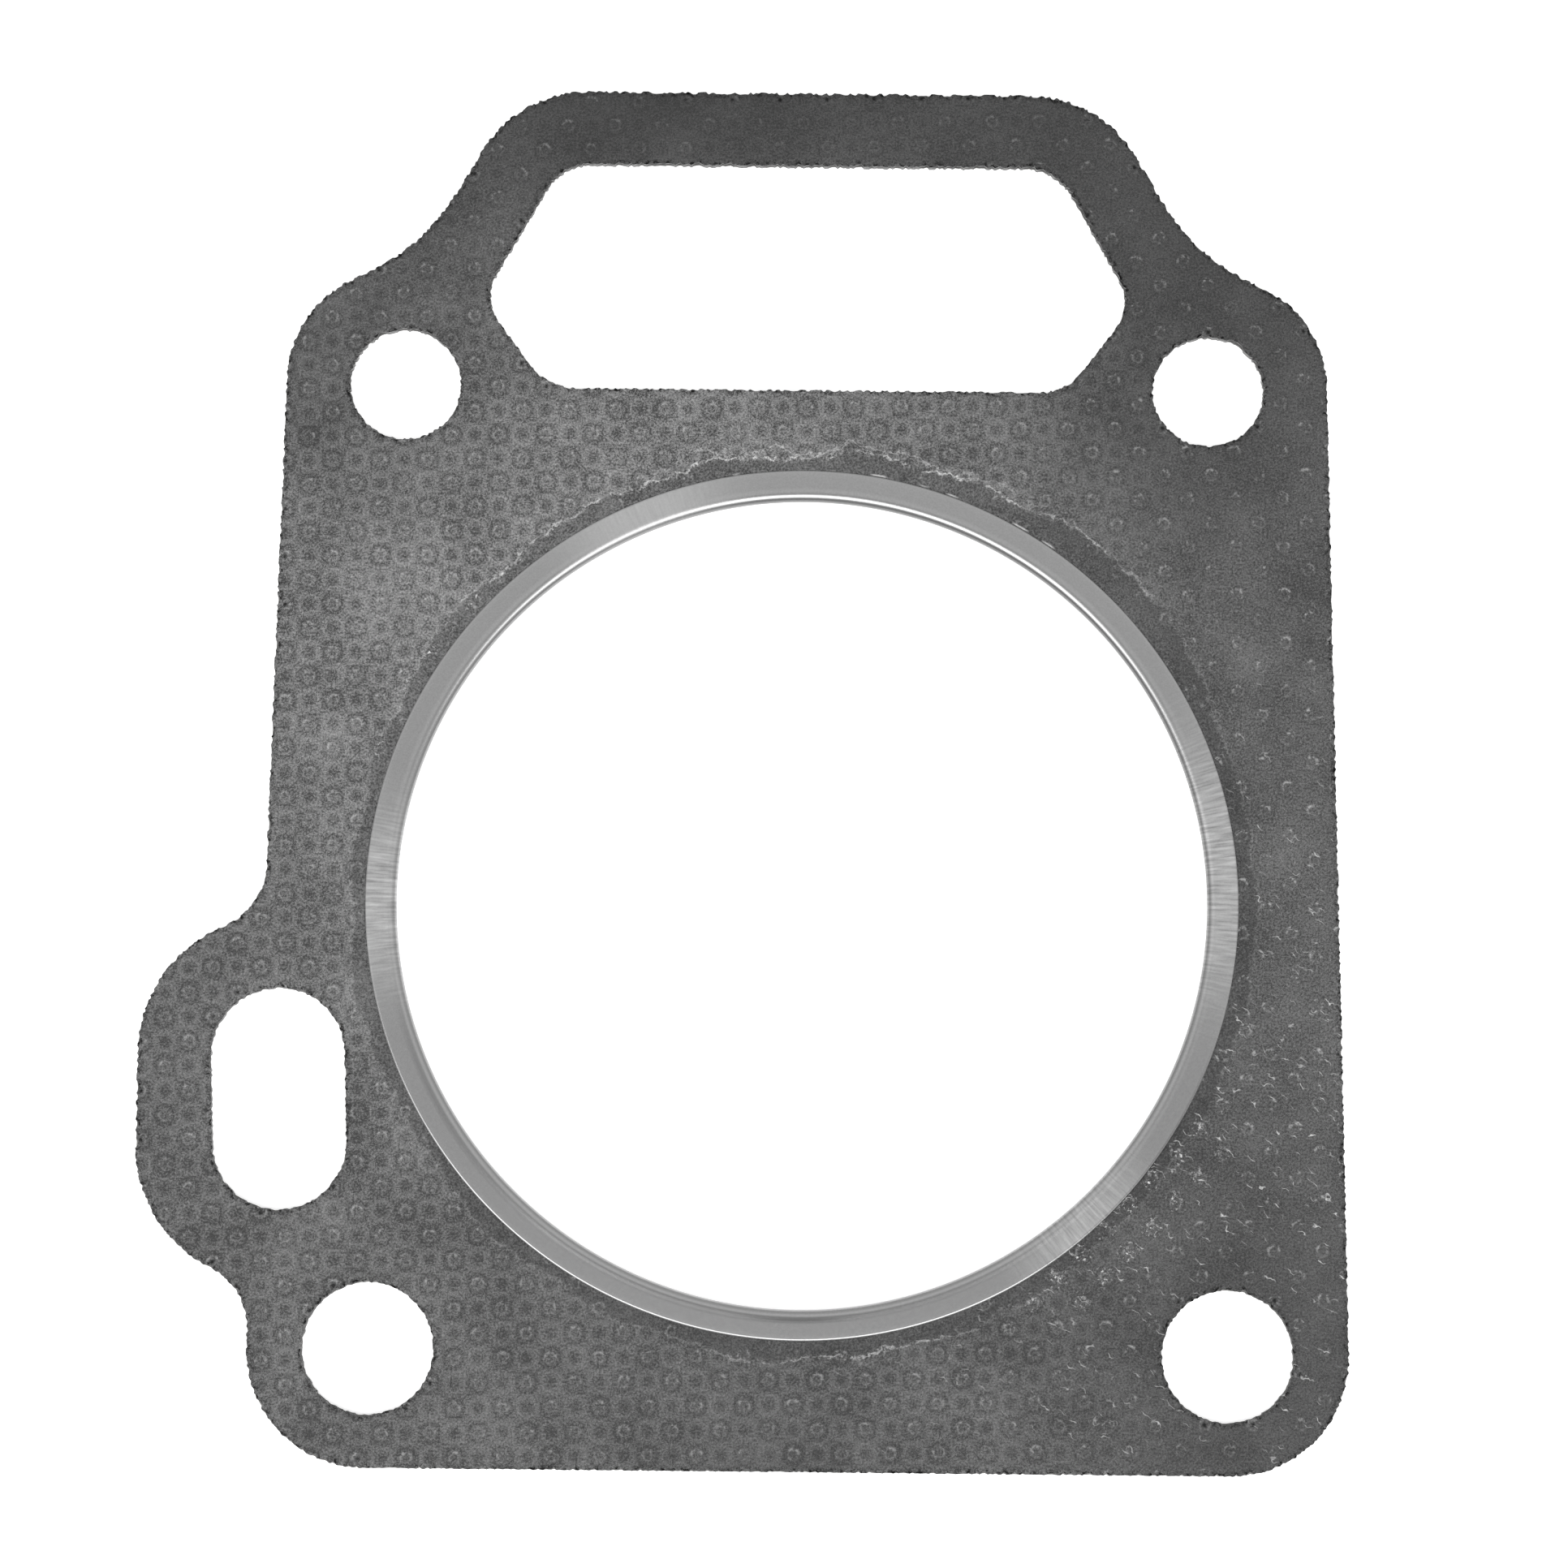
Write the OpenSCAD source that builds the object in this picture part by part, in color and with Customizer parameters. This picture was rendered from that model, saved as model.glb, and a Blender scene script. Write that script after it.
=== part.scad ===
// Cylinder head gasket of a small overhead-valve engine, photographed face up.
// A perforated steel core lies between two soft facings, and a thin steel ring is
// folded round the inner edge to seal the combustion chamber.
// The origin is on the bore axis, halfway through the thickness. +Z leaves the face
// that the photograph shows, and +Y points from the bore to the push-rod opening.

/* [Bore and fire ring] */
// Diameter of the opening inside the fire ring
bore_d = 79; // [78:0.5:81]
// Width of the fire ring, from the opening to its outer edge
ring_w = 3; // [2.6:0.1:3.6]
// Thickness of the steel that the fire ring is folded from
ring_sheet = 0.2; // [0.15:0.01:0.25]
// Outside radius of the fold, above and below the short upright wall
fold_r = 0.6; // [0.5:0.02:0.7]
// Gap between the fold and the edge of the layers inside it
fold_gap = 0.1; // [0.05:0.05:0.3]

/* [Layers] */
// Thickness of the steel core
core_t = 0.2; // [0.15:0.01:0.3]
// Thickness of each facing
facing_t = 0.55; // [0.45:0.01:0.7]
// Depth of the step that the fire ring is pressed into each facing
press_depth = 0.05; // [0.03:0.01:0.1]
// Width of the pressed band that shows outside the fire ring
press_w = 1.2; // [0.8:0.1:2]

/* [Perforated core] */
// Distance between neighbouring columns; each row fills every second one
pitch_across = 2.33; // [2.2:0.01:2.6]
// Distance between neighbouring rows
pitch_along = 2.38; // [2.2:0.01:2.6]
// Side of a perforation
perforation = 1.1; // [0.8:0.05:1.3]
// Angle of the rows, because the sheet lay slightly askew when it was cut
row_turn = 1.1; // [-3:0.1:3]
// Place of one perforation near the bore axis
row_start = [0.94, 1.3];
// Plain steel kept between the perforations and every cut edge
edge_land = 0.5; // [0.3:0.1:1.5]

/* [Bolt and dowel holes] */
// Distance between the upper bolt holes
upper_spacing = 79; // [78:0.5:82]
// Height of the upper bolt holes above the bore axis
upper_y = 50.8; // [50:0.2:53]
// Diameter of the upper bolt holes
bolt_hole_d = 10.8; // [10:0.1:11.5]
// Distance between the lower holes, which fit over the hollow dowels
lower_spacing = 83; // [82:0.5:86]
// Distance of the lower holes below the bore axis
lower_y = 43.6; // [43:0.2:46]
// Diameter of the lower holes
dowel_hole_d = 12.6; // [12:0.1:13.5]

/* [Push-rod opening] */
// Width of the bridge between the fire ring and the opening
bridge_w = 8.1; // [7:0.1:9]
// Height of the opening
opening_h = 22.4; // [20:0.2:24]
// Width of the opening's lower edge, to its unrounded corners
opening_lower_w = 51; // [47:0.5:54]
// Width of the opening at its side corners, unrounded
opening_mid_w = 64.2; // [62:0.2:65]
// Width of the opening's upper edge, to its unrounded corners
opening_upper_w = 48.8; // [46:0.2:52]
// Height of the side corners above the lower edge
opening_mid_h = 8.8; // [7:0.2:11]
// Radius of the lower corners
opening_lower_r = 5.5; // [4:0.5:7]
// Radius of the side corners
opening_mid_r = 4.5; // [3:0.5:6]
// Radius of the upper corners
opening_upper_r = 5; // [4:0.5:7]

/* [Side slot] */
// Distance of the slot's middle to the left of the bore axis
slot_x = 50.6; // [50.4:0.1:53]
// Distance of the slot's middle below the bore axis
slot_y = 19.6; // [18.5:0.1:20.5]
// Width of the slot
slot_w = 12.9; // [11:0.1:13]
// Length of the slot over its round ends
slot_len = 21.4; // [19:0.2:23]
// Lean of the slot, with its upper end away from the bore
slot_lean = 2; // [0:0.5:4]

/* [Outline] */
// Material between the push-rod opening and the top edge
top_w = 7.4; // [6:0.1:10]
// How far each shoulder reaches past the opening's upper corner
shoulder_reach = 4.4; // [3:0.1:6]
// Radius of the shoulders
shoulder_r = 12; // [9:0.5:14]
// How far each waist lies beyond the opening's side corner
waist_reach = 6.2; // [5:0.1:7]
// Height of the waist above the opening's side corner
waist_rise = 4.8; // [3.5:0.1:6]
// Radius of the waists
waist_r = 20; // [12:0.5:21]
// Material from an upper bolt hole's middle to the side edge
upper_side = 11.6; // [10.5:0.1:13]
// Height of the unrounded upper corner above the bolt hole's middle
upper_rise = 7.8; // [7:0.1:8.6]
// Radius of the upper corners
upper_r = 11.2; // [9:0.1:12]
// Material from a lower hole's middle to the side edge
lower_side = 12; // [11:0.1:13]
// Material from a lower hole's middle to the bottom edge
lower_drop = 11.5; // [11:0.1:13]
// Radius of the lower corners
lower_r = 11.5; // [9:0.5:12]
// Material between the slot and the lobe's outer edge
lobe_w = 7.35; // [6:0.05:9]
// How far the lobe's unrounded corners lie past the slot's ends
lobe_reach = 2.1; // [1:0.1:3]
// Slope of the lobe's flanks, away from level
lobe_slope = 26; // [20:1:32]
// Radius of the lobe's outer corners
lobe_r = 13.3; // [11:0.1:14]
// Radius where the lobe meets the side edge
lobe_root_r = 6.5; // [5:0.5:7]

/* [Hidden] */
$fn = 96;
// Angle between neighbouring points on a rounded corner
arc_step = 4;
// How far a cutting shape passes through what it cuts
through = 1;
bore_r = bore_d / 2;
ring_r = bore_r + ring_w;
core_z = core_t / 2;
facing_z = core_z + facing_t;
seat_z = facing_z - press_depth;
ring_z = seat_z + ring_sheet;
// The layers stop where the fold begins, less the gap
layer_r = bore_r + fold_r + fold_gap;
opening_lower_y = ring_r + bridge_w;
opening_mid_y = opening_lower_y + opening_mid_h;
opening_upper_y = opening_lower_y + opening_h;
upper_x = upper_spacing / 2;
lower_x = lower_spacing / 2;

// Unrounded corners on the right: [x, y, radius]
lower_corner = [lower_x + lower_side, -lower_y - lower_drop, lower_r];
upper_corner = [upper_x + upper_side, upper_y + upper_rise, upper_r];
waist = [opening_mid_w / 2 + waist_reach, opening_mid_y + waist_rise, waist_r];
shoulder = [opening_upper_w / 2 + shoulder_reach, opening_upper_y + top_w, shoulder_r];

// Unrounded corners of the lobe round the slot
lobe_x = -slot_x - slot_w / 2 - lobe_w;
lobe_half = slot_len / 2 + lobe_reach;
lobe_top = [lobe_x, -slot_y + lobe_half, lobe_r];
lobe_bottom = [lobe_x, -slot_y - lobe_half, lobe_r];
lobe_top_root = on_left_side(lobe_top, lobe_slope);
lobe_bottom_root = on_left_side(lobe_bottom, -lobe_slope);

// The same corner on the other side of the bore
function mirrored(c) = [-c.x, c.y, c[2]];

// Where a line that leaves corner c at the given slope meets the left side edge
function on_left_side(c, slope) =
  let (a = mirrored(lower_corner), b = mirrored(upper_corner), lean = (b.x - a.x) / (b.y - a.y))
  let (x = (a.x + lean * (c.y - a.y - c.x * tan(slope))) / (1 - lean * tan(slope)))
  [x, c.y + (x - c.x) * tan(slope), lobe_root_r];

body_corners = [
  lower_corner,
  upper_corner,
  waist,
  shoulder,
  mirrored(shoulder),
  mirrored(waist),
  mirrored(upper_corner),
  lobe_top_root,
  lobe_top,
  lobe_bottom,
  lobe_bottom_root,
  mirrored(lower_corner)
];
opening_lower = [opening_lower_w / 2, opening_lower_y, opening_lower_r];
opening_mid = [opening_mid_w / 2, opening_mid_y, opening_mid_r];
opening_upper = [opening_upper_w / 2, opening_upper_y, opening_upper_r];
opening_corners = [
  opening_lower,
  opening_mid,
  opening_upper,
  mirrored(opening_upper),
  mirrored(opening_mid),
  mirrored(opening_lower)
];
body_line = rounded(body_corners);
opening_line = rounded(opening_corners);

// Middles of the round holes, with the diameter of each
holes = [
  [-upper_x, upper_y, bolt_hole_d],
  [upper_x, upper_y, bolt_hole_d],
  [-lower_x, -lower_y, dowel_hole_d],
  [lower_x, -lower_y, dowel_hole_d]
];
// Middles of the slot's two round ends
slot_ends = [for (side = [-1, 1])
  [-slot_x - side * sin(slot_lean) * (slot_len - slot_w) / 2,
   -slot_y + side * cos(slot_lean) * (slot_len - slot_w) / 2]];

function unit(v) = v / norm(v);
function flat(c) = [c.x, c.y];

// Points of a closed outline whose corners are [x, y, radius], given anticlockwise
function rounded(corners) = [for (i = [0:len(corners) - 1])
  let (n = len(corners))
  each corner_arc(flat(corners[(i + n - 1) % n]), corners[i], flat(corners[(i + 1) % n]))];

// Points along the arc that rounds corner c, between the corners before and after it
function corner_arc(before, c, after) =
  let (p = flat(c), back = unit(before - p), on = unit(after - p))
  let (half = acos(back * on) / 2, middle = p + unit(back + on) * c[2] / sin(half))
  let (first = p + back * c[2] / tan(half) - middle, swing = 180 - 2 * half)
  let (way = cross(back, on) > 0 ? -1 : 1, steps = ceil(swing / arc_step))
  [for (k = [0:steps])
    let (a = way * swing * k / steps)
    middle + [first.x * cos(a) - first.y * sin(a), first.x * sin(a) + first.y * cos(a)]];

// Distance from a point to the straight between a and b
function to_straight(p, a, b) =
  let (t = max(0, min(1, (p - a) * (b - a) / ((b - a) * (b - a)))))
  norm(p - a - t * (b - a));

function to_line(p, line) =
  min([for (i = [0:len(line) - 1]) to_straight(p, line[i], line[(i + 1) % len(line)])]);

// Whether a straight towards +X from the point crosses the closed line an odd number of times
function inside(p, line) =
  len([for (i = [0:len(line) - 1])
    let (a = line[i], b = line[(i + 1) % len(line)])
    if ((a.y > p.y) != (b.y > p.y) && p.x < a.x + (b.x - a.x) * (p.y - a.y) / (b.y - a.y)) i
  ]) % 2 == 1;

// Whether a perforation there keeps its land to the outline, openings and holes
function clear_of_edges(p, keep) =
  norm(p) > layer_r + keep
  && min([for (h = holes) norm(p - flat(h)) - h[2] / 2]) > keep
  && to_straight(p, slot_ends[0], slot_ends[1]) > slot_w / 2 + keep
  && inside(p, body_line)
  && to_line(p, body_line) > keep
  && !inside(p, opening_line)
  && to_line(p, opening_line) > keep;

// Middles of the perforations, staggered from row to row over the whole sheet
perforations =
  let (keep = perforation / sqrt(2) + edge_land, reach = shoulder.y + lower_corner.x)
  let (columns = ceil(reach / pitch_across), rows = ceil(reach / pitch_along))
  [for (i = [-columns:columns], j = [-rows:rows])
    let (u = i * pitch_across, v = j * pitch_along)
    let (p = row_start + [u * cos(row_turn) - v * sin(row_turn), u * sin(row_turn) + v * cos(row_turn)])
    if ((i + j) % 2 == 0 && p.x > lobe_x && p.x < lower_corner.x && p.y > lower_corner.y && p.y < shoulder.y)
    if (clear_of_edges(p, keep)) p];

// The sheet's outline with every opening and hole that goes right through
module sheet_outline() {
  difference() {
    polygon(body_line);
    polygon(opening_line);
    circle(layer_r);
    for (h = holes)
      translate(flat(h))
        circle(d = h[2]);
    slot();
  }
}

module slot() {
  for (e = slot_ends)
    translate(e)
      circle(d = slot_w);
  translate([-slot_x, -slot_y])
    rotate(slot_lean)
      square([slot_w, slot_len - slot_w], center = true);
}

module core_plate() {
  color("#8d9094")
    translate([0, 0, -core_z])
      linear_extrude(core_t)
        difference() {
          sheet_outline();
          for (p = perforations)
            translate(p)
              rotate(row_turn)
                square(perforation, center = true);
        }
}

// A facing as it lies on top of the core, with the step that the ring is pressed into
module facing() {
  difference() {
    translate([0, 0, core_z])
      linear_extrude(facing_t)
        sheet_outline();
    translate([0, 0, seat_z])
      cylinder(h = press_depth + through, r = ring_r + press_w);
  }
}

module front_facing() {
  color("#626466") facing();
}

module back_facing() {
  color("#5a5c5e") mirror([0, 0, 1]) facing();
}

// Half of the folded section, from the upright wall's middle to the outer edge on one face
module fold_half() {
  bend = bore_r + fold_r;
  difference() {
    union() {
      translate([bore_r, 0]) square([fold_r, ring_z - fold_r]);
      translate([bend, ring_z - fold_r]) circle(fold_r);
      translate([bend, ring_z - fold_r]) square([ring_w - fold_r, fold_r]);
    }
    translate([bore_r + ring_sheet, -through]) square([ring_w, ring_z - fold_r + through]);
    translate([bend, ring_z - fold_r]) circle(fold_r - ring_sheet);
    translate([bend, -through]) square([ring_w, ring_z - ring_sheet + through]);
  }
}

module fire_ring() {
  color("#b4b5b6")
    rotate_extrude() {
      fold_half();
      mirror([0, 1]) fold_half();
    }
}

core_plate();
front_facing();
back_facing();
fire_ring();
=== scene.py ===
import math

import bmesh
import bpy
import numpy as np
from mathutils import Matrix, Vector, noise


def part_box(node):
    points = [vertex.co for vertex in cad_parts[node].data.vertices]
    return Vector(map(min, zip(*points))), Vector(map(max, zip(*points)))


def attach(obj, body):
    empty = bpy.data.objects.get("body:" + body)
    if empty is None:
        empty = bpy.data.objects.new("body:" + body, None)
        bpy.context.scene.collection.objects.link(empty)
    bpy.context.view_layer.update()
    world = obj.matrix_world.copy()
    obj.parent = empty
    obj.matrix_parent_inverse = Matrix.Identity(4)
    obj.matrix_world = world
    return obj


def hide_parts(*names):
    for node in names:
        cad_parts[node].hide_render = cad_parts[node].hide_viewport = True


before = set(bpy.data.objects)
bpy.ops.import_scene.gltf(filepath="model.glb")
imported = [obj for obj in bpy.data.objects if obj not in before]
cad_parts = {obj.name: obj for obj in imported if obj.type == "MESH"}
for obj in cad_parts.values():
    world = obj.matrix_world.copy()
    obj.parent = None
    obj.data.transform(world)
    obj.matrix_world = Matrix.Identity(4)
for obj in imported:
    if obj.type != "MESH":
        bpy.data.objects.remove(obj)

bl_info = {
    "name": "Cylinder Head Gasket",
    "version": (1, 0, 0),
    "blender": (4, 5, 0),
    "location": "View3D > Sidebar > Gasket",
    "description": "Dresses a flat head gasket with a folded fire ring and sets its studio",
    "category": "Object",
}

MM = 0.001

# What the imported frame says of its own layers, in metres
FACING_LOW, FACING_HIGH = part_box("front_facing")
CORE_LOW, CORE_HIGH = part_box("core_plate")
RING_LOW, RING_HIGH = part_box("fire_ring")
RING_RADIUS = RING_HIGH.x

# The perforations of the core, which mark both facings: pitch across and along the rows,
# the middle of one perforation, and the turn of the rows
PITCH_ACROSS = 2.331 * MM
PITCH_ALONG = 2.375 * MM
ROW_START = (0.937 * MM, 1.303 * MM, 0.0)
ROW_TURN = math.radians(1.137)

# Torn walls: the spacing of the points along a cut, and the sizes of fibres and of bites
WALL_STEP = 0.26 * MM
FIBRE_SIZE = 0.38 * MM
BITE_SIZE = 1.1 * MM
# A loop of a layer's rim that is wider than this was cut by the die, and is no perforation
DIE_CUT_WIDTH = 3 * MM
# How far the block that cuts out a facing reaches above and below the gasket's middle
CUTTER_REACH = 2 * MM
# A layer with fewer faces than this was not filled or cut
FEWEST_FACES = 1000
# Heights closer than this are the same
SAME_HEIGHT = 0.01 * MM

# Where the camera stands, and its turn about X, Y and Z in degrees: it looks down on the gasket
# from nearly straight above
CAMERA_PLACE = (-1.14 * MM, -42.9 * MM, 504.6 * MM)
CAMERA_TURN = (6.166, 0.0194, 0.5742)
# The lights: length and width, and place, in metres
FRONT_STRIP = ((1.3, 0.5), (-0.05, -0.44, 0.855))
BACK_SOFT = ((1.4, 0.62), (0.0, 0.40, 0.95))
# The floor reaches this far, and lies this little below the ring, so that they share no plane
FLOOR_RADIUS = 3.0
FLOOR_GAP = 0.01 * MM


class CoreLook(bpy.types.PropertyGroup):
    """Sizes and colours of the perforated core."""

    nick: bpy.props.FloatProperty(
        name="Nick", description="Depth of the nicks that shearing left in the core's outline",
        default=0.12 * MM, min=0.0, max=0.4 * MM, subtype="DISTANCE")
    dark: bpy.props.StringProperty(
        name="Dark", description="Darker grey of the steel, as sRGB hex", default="#4c4b49")
    pale: bpy.props.StringProperty(
        name="Pale", description="Paler grey of the steel, as sRGB hex", default="#8c8c8b")


class FacingLook(bpy.types.PropertyGroup):
    """Sizes and colours of the two facings."""

    grid: bpy.props.FloatProperty(
        name="Grid", description="Spacing of the points on a facing's face",
        default=0.4 * MM, min=0.2 * MM, max=2 * MM, subtype="DISTANCE")
    tear: bpy.props.FloatProperty(
        name="Tear", description="Depth of the torn fibres along the cut edges",
        default=0.32 * MM, min=0.0, max=0.6 * MM, subtype="DISTANCE")
    roll: bpy.props.FloatProperty(
        name="Edge roll", description="How far the cutting die rolls the face down at an edge",
        default=0.07 * MM, min=0.0, max=0.2 * MM, subtype="DISTANCE")
    press: bpy.props.FloatProperty(
        name="Press", description="Depth of the band that is pressed down round the fire ring",
        default=0.05 * MM, min=0.0, max=0.2 * MM, subtype="DISTANCE")
    press_width: bpy.props.FloatProperty(
        name="Press width", description="Width of that band outside the fire ring",
        default=1.2 * MM, min=0.4 * MM, max=3 * MM, subtype="DISTANCE")
    colour: bpy.props.StringProperty(
        name="Colour", description="Dark grey of the graphite and fibre sheet, as sRGB hex",
        default="#454545")


class RingLook(bpy.types.PropertyGroup):
    """Sizes and colour of the folded fire ring."""

    sheet: bpy.props.FloatProperty(
        name="Sheet", description="Thickness of the steel that the ring is folded from",
        default=0.2 * MM, min=0.1 * MM, max=0.4 * MM, subtype="DISTANCE")
    fold: bpy.props.FloatProperty(
        name="Fold height", description="Height of the curve that the fold takes on each face",
        default=0.6 * MM, min=0.3 * MM, max=0.8 * MM, subtype="DISTANCE")
    bead: bpy.props.FloatProperty(
        name="Bead", description="Width of that curve, pressed flatter than a round fold",
        default=0.8 * MM, min=0.3 * MM, max=1.2 * MM, subtype="DISTANCE")
    width: bpy.props.FloatProperty(
        name="Width", description="Width of the ring, from the opening to its outer edge",
        default=3.0 * MM, min=2 * MM, max=4 * MM, subtype="DISTANCE")
    roll: bpy.props.FloatProperty(
        name="Edge roll", description="Radius that the ring's punched outer edge rolls down by",
        default=0.3 * MM, min=0.1 * MM, max=0.8 * MM, subtype="DISTANCE")
    groove: bpy.props.FloatProperty(
        name="Groove", description="How far the flange lies below the bead at the fold",
        default=0.02 * MM, min=0.0, max=0.1 * MM, subtype="DISTANCE")
    steps: bpy.props.IntProperty(
        name="Steps", description="Steps round the ring", default=540, min=90, max=720)
    colour: bpy.props.StringProperty(
        name="Colour", description="Grey of the satin stainless sheet, as sRGB hex",
        default="#9e9e9e")


class StageLook(bpy.types.PropertyGroup):
    """Lights, floor and camera."""

    front_power: bpy.props.FloatProperty(
        name="Front light", description="Power of the strip light in front of the camera's side",
        default=7.8, min=0.0, unit="POWER")
    back_power: bpy.props.FloatProperty(
        name="Back light", description="Power of the wide soft light behind",
        default=0.9, min=0.0, unit="POWER")
    surroundings: bpy.props.FloatProperty(
        name="Surroundings", description="Brightness of the plain room", default=1.08, min=0.0)
    overhead: bpy.props.FloatProperty(
        name="Overhead", description="Brightness straight above, where the camera hides the room",
        default=0.6, min=0.0)
    floor: bpy.props.StringProperty(
        name="Floor", description="Colour of the plain pale floor, as sRGB hex", default="#f7f7f7")
    glow: bpy.props.FloatProperty(
        name="Glow", description="Light that the floor gives from below, which lifts its shadows",
        default=0.45, min=0.0)
    lens: bpy.props.FloatProperty(
        name="Lens", description="Focal length on a 36 mm wide sensor",
        default=119.25, min=20.0, max=300.0, subtype="DISTANCE_CAMERA")


def linear(hex_colour):
    """The linear RGBA of an sRGB hex colour, as Blender's colour sockets take it."""
    parts = [int(hex_colour[i:i + 2], 16) / 255 for i in (1, 3, 5)]
    return tuple(c / 12.92 if c <= 0.04045 else ((c + 0.055) / 1.055) ** 2.4 for c in parts) + (1.0,)


def add(tree, kind, inputs=None, stops=None, **settings):
    """Adds a node. An input is a value, a socket, or a node whose first output is used.
    Stops are a ramp's (place, level) pairs."""
    made = tree.nodes.new(kind)
    for name, value in settings.items():
        setattr(made, name, value)
    for name, value in (inputs or {}).items():
        if isinstance(value, bpy.types.Node):
            value = value.outputs[0]
        if isinstance(value, bpy.types.NodeSocket):
            tree.links.new(value, made.inputs[name])
        else:
            made.inputs[name].default_value = value
    if stops:
        elements = made.color_ramp.elements
        while len(elements) < len(stops):
            elements.new(1.0)
        for element, (place, level) in zip(elements, stops):
            element.position = place
            element.color = (level, level, level, 1.0)
    return made


def new_material(name):
    """A material and its empty node tree."""
    material = bpy.data.materials.new(name)
    material.use_nodes = True
    material.node_tree.nodes.clear()
    return material, material.node_tree


def give(piece, material):
    """Makes this the piece's only material."""
    piece.data.materials.clear()
    piece.data.materials.append(material)


def pick(piece):
    """Makes piece the only selected and active object."""
    bpy.ops.object.select_all(action="DESELECT")
    piece.select_set(True)
    bpy.context.view_layer.objects.active = piece


def finish_piece(piece, slot, *nodes):
    """Rides on the one body and stands for its CAD nodes. The slot is not used."""
    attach(piece, "root")
    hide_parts(*nodes)


def copy_of_node(node, name):
    """A merged copy of a CAD node's mesh, as a new object."""
    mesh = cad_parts[node].data.copy()
    piece = bpy.data.objects.new(name, mesh)
    bpy.context.scene.collection.objects.link(piece)
    pick(piece)
    bpy.ops.object.mode_set(mode="EDIT")
    bpy.ops.mesh.select_all(action="SELECT")
    bpy.ops.mesh.remove_doubles(threshold=0.001 * MM)
    bpy.ops.object.mode_set(mode="OBJECT")
    return piece


def torn(x, y, depth):
    """How far the cut edge at (x, y) is torn back, from 0 to depth: short fibres, with a few
    deeper bites."""
    fibre = noise.noise(Vector((x, y, 0.0)) / FIBRE_SIZE)
    # Read 20 mm higher up, so that the bites don't follow the fibres
    bite = noise.noise(Vector((x, y, 20 * MM)) / BITE_SIZE)
    # A little everywhere, more where a fibre came out, and most in a bite
    share = 0.2 + 1.4 * fibre + 0.9 * max(0.0, bite - 0.05)
    return depth * min(1.0, max(0.0, share))


def torn_block(node, name, depth, low, high):
    """A CAD layer's outline as a block between two heights, with its cut walls torn back by up
    to the depth."""
    block = copy_of_node(node, name)
    shape = bmesh.new()
    shape.from_mesh(block.data)
    by_cuts = {}
    for edge in die_cut_edges(lower_rim(shape)):
        by_cuts.setdefault(int(edge.calc_length() / WALL_STEP), []).append(edge)
    for cuts, edges in by_cuts.items():
        if cuts:
            bmesh.ops.subdivide_edges(shape, edges=edges, cuts=cuts)
    rim = lower_rim(shape)
    die_cut = {vertex for edge in die_cut_edges(rim) for vertex in edge.verts}
    moves = {}
    for vertex in {v for edge in rim for v in edge.verts}:
        wall = Vector((0, 0, 0))
        for face in vertex.link_faces:
            if abs(face.normal.z) < 0.5:
                wall += face.normal
        # The ring covers the inner edge and the facings cover the perforations, so both keep
        # their shape
        shown = vertex in die_cut and vertex.co.xy.length > RING_RADIUS
        moves[vertex] = wall.normalized() * (torn(vertex.co.x, vertex.co.y, depth) if shown else 0.0)
    # Only the rim is kept, as the outline of the block's lower face
    bmesh.ops.delete(shape, geom=list(set(shape.edges) - rim), context="EDGES_FACES")
    bmesh.ops.delete(shape, geom=[v for v in shape.verts if not v.link_edges], context="VERTS")
    for vertex, move in moves.items():
        vertex.co = (vertex.co.x - move.x, vertex.co.y - move.y, low)
    shape.to_mesh(block.data)
    shape.free()
    bpy.ops.object.mode_set(mode="EDIT")
    bpy.ops.mesh.select_all(action="SELECT")
    bpy.ops.mesh.fill(use_beauty=False)
    bpy.ops.mesh.extrude_region_move(TRANSFORM_OT_translate={"value": (0, 0, high - low)})
    bpy.ops.mesh.select_all(action="SELECT")
    bpy.ops.mesh.normals_make_consistent(inside=False)
    bpy.ops.object.mode_set(mode="OBJECT")
    return block


def lower_rim(shape):
    """The edges where the walls of a layer meet its lower face."""
    shape.normal_update()
    return {edge for edge in shape.edges
            if sorted(round(face.normal.z) for face in edge.link_faces) == [-1, 0]}


def die_cut_edges(rim):
    """The edges of a rim that the cutting die made: its wide loops, without the perforations."""
    loose = set(rim)
    kept = []
    while loose:
        loop = [loose.pop()]
        for edge in loop:
            for near in {n for vertex in edge.verts for n in vertex.link_edges} & loose:
                loose.remove(near)
                loop.append(near)
        across = [vertex.co.x for edge in loop for vertex in edge.verts]
        if max(across) - min(across) > DIE_CUT_WIDTH:
            kept += loop
    return kept


def nearest_rim(points, rim):
    """Distance from each point to the nearest rim point, looked up in square cells. A point that
    is further off than a cell is wide gets the cell's width."""
    cell = 1.0 * MM
    cells = {}
    for p in rim:
        cells.setdefault((math.floor(p[0] / cell), math.floor(p[1] / cell)), []).append(p)
    cells = {k: np.array(v) for k, v in cells.items()}
    found = np.full(len(points), cell)
    keys = np.floor(points / cell).astype(int)
    for n, (p, key) in enumerate(zip(points, keys)):
        near = [cells[k] for i in (-1, 0, 1) for j in (-1, 0, 1)
                if (k := (key[0] + i, key[1] + j)) in cells]
        if near:
            found[n] = min(cell, min(np.hypot(*(c - p).T).min() for c in near))
    return found


class GASKET_OT_core(bpy.types.Operator):
    """Makes the perforated core, which shows as a thin line in the cut walls and in their nicks"""

    bl_idname = "gasket.core"
    bl_label = "Core plate"

    def execute(self, context):
        look = context.scene.gasket_core
        core = torn_block("core_plate", "perforated_core", look.nick, CORE_LOW.z, CORE_HIGH.z)
        if len(core.data.polygons) < FEWEST_FACES:
            raise RuntimeError("the core's outline could not be filled")
        give(core, core_steel(look))
        finish_piece(core, "core_steel", "core_plate")
        return {"FINISHED"}


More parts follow.
